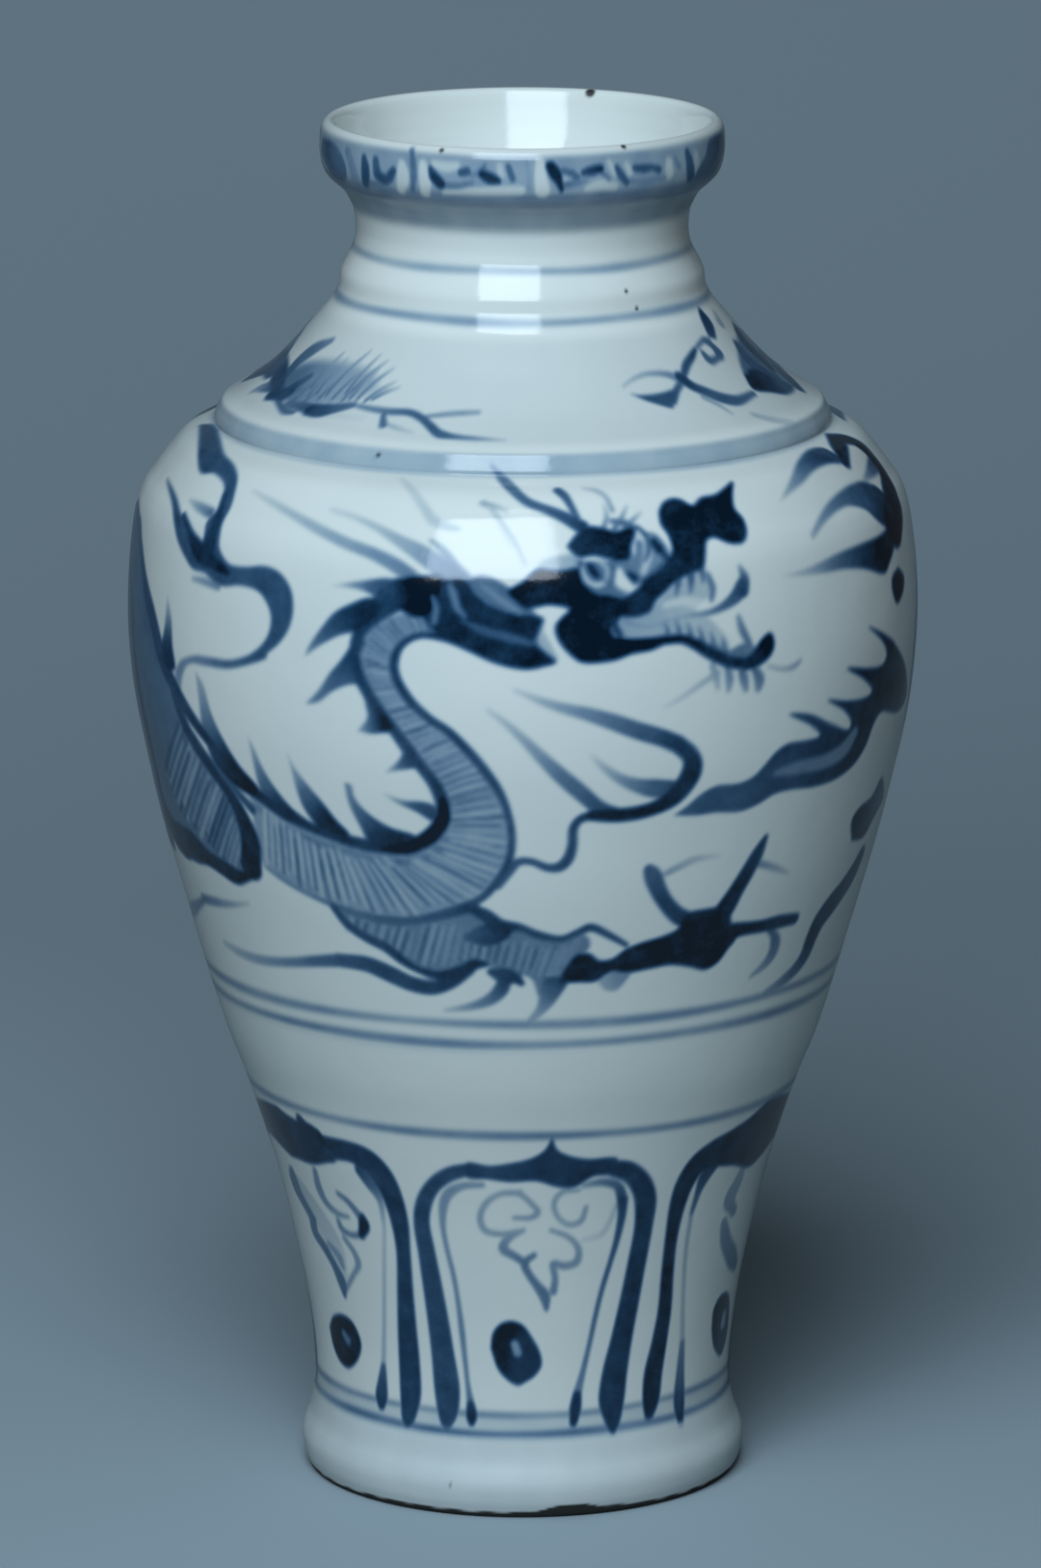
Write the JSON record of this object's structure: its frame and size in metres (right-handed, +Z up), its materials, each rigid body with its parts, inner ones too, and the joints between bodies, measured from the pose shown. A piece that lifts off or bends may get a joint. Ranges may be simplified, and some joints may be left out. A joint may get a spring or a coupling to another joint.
{
  "type": "meiping vase",
  "caption": "Blue and white porcelain meiping vase with high shoulders, stepped neck, collared mouth, tapering body and turned foot, built as thrown sections luted together.",
  "frame": {"origin": "centre of the circle that the foot ring stands on", "axes": "+Z up the vase's axis; the painted dragon's face looks towards -Y"},
  "size_m": [0.172, 0.172, 0.2998],
  "materials": {
    "glazed_porcelain": "bluish white glaze over cobalt painting, glossy",
    "joint_slip": "fired slip, glazed over where it shows"
  },
  "bodies": {
    "root": {"mouth_collar": "glazed_porcelain", "neck": "glazed_porcelain", "shoulder": "glazed_porcelain", "upper_belly": "glazed_porcelain", "lower_belly": "glazed_porcelain", "lower_body": "glazed_porcelain", "foot_ring": "glazed_porcelain", "base_disc": "glazed_porcelain", "collar_slip": "joint_slip", "neck_slip": "joint_slip", "shoulder_slip": "joint_slip", "belly_slip": "joint_slip", "flank_slip": "joint_slip", "foot_slip": "joint_slip", "base_slip": "joint_slip"}
  },
  "joints": []
}
